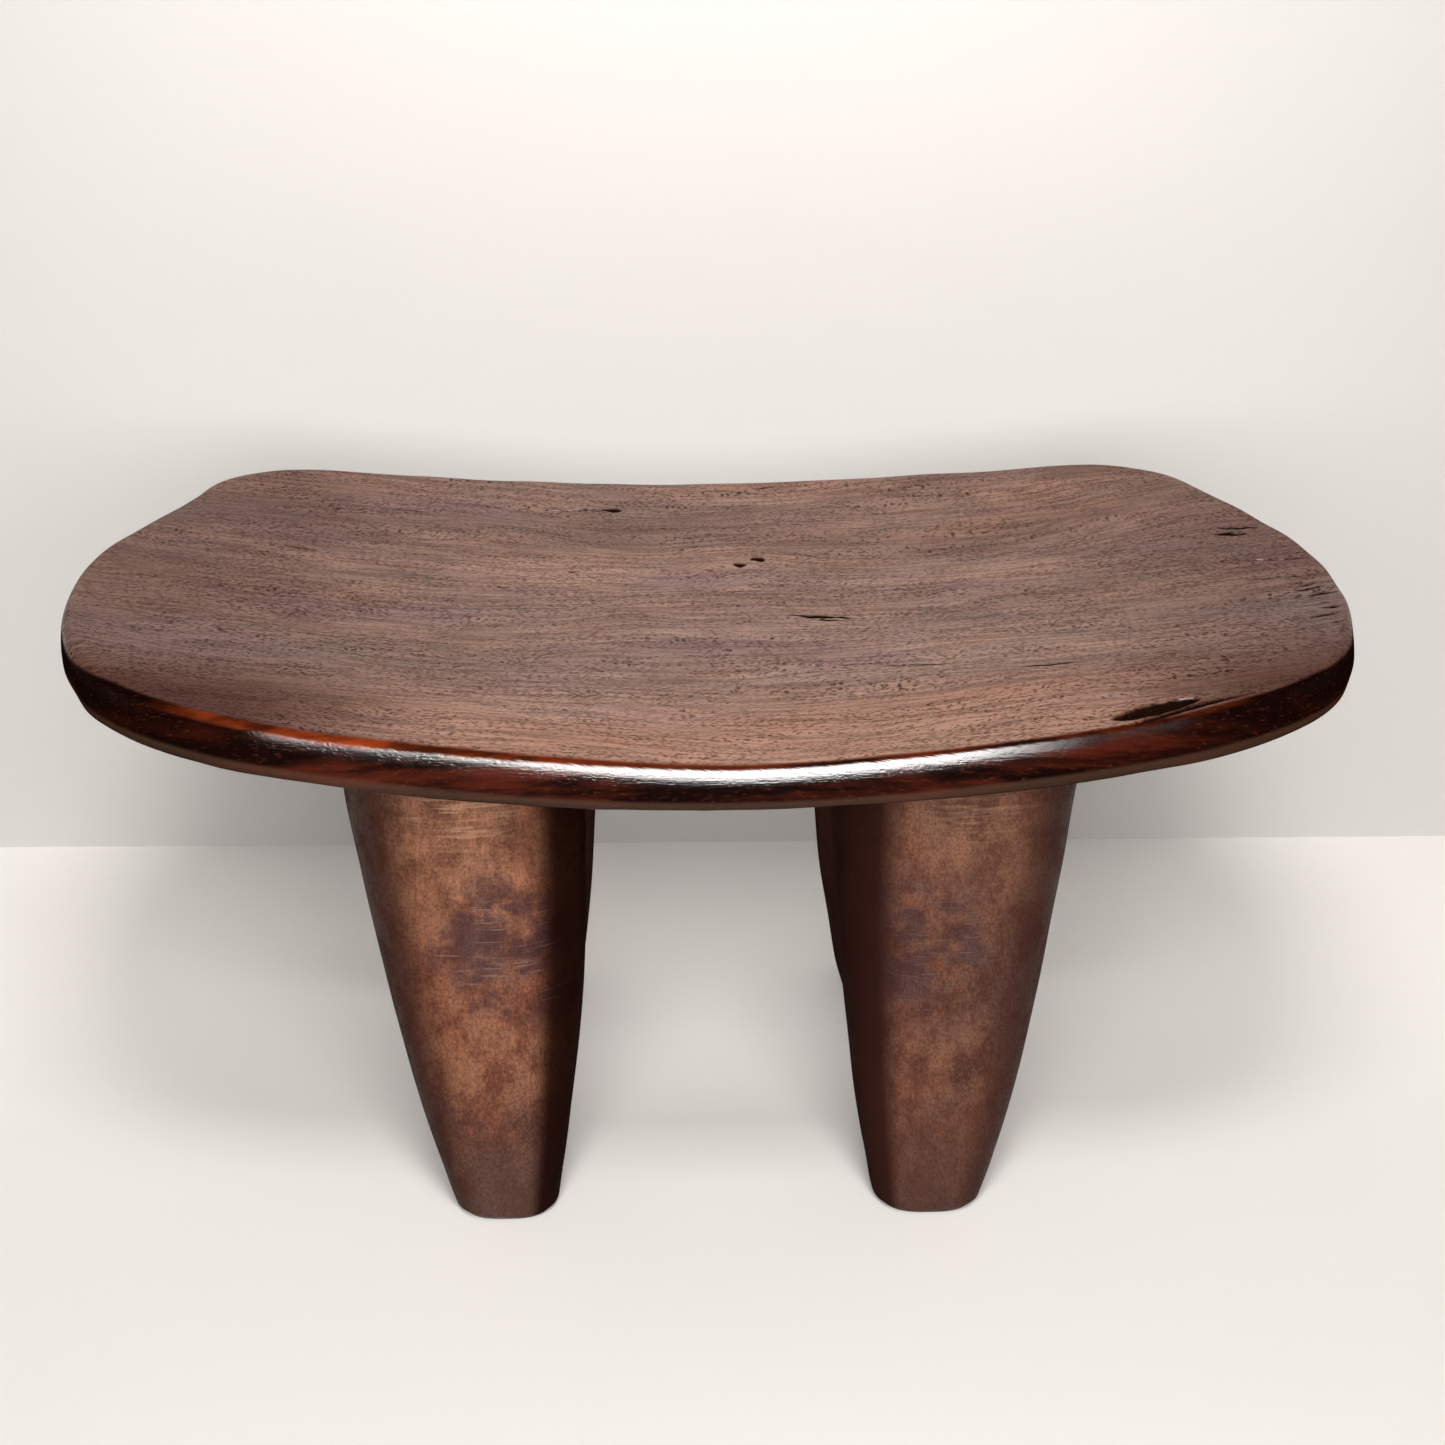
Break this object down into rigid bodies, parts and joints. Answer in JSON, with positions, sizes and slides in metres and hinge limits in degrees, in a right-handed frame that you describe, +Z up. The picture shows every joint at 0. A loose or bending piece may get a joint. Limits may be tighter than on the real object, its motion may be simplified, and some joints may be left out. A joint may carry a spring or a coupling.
{
  "type": "low carved wooden stool",
  "caption": "Low carved hardwood stool: a dished, bowed seat with a rolled polished edge on thick legs that taper to small flat feet.",
  "frame": {"origin": "On the floor, under the middle of the seat", "axes": "+X along the seat, +Z up, -Y is the side that faces forward"},
  "size_m": [0.4, 0.27, 0.1817],
  "materials": {
    "seat_wood": "waxed dark reddish-brown hardwood, satin top and glossy worn edge",
    "leg_wood": "waxed coppery red-brown hardwood, satin"
  },
  "bodies": {
    "root": {"seat": "seat_wood", "front_left_leg": "leg_wood", "front_right_leg": "leg_wood", "back_left_leg": "leg_wood", "back_right_leg": "leg_wood"}
  },
  "joints": []
}
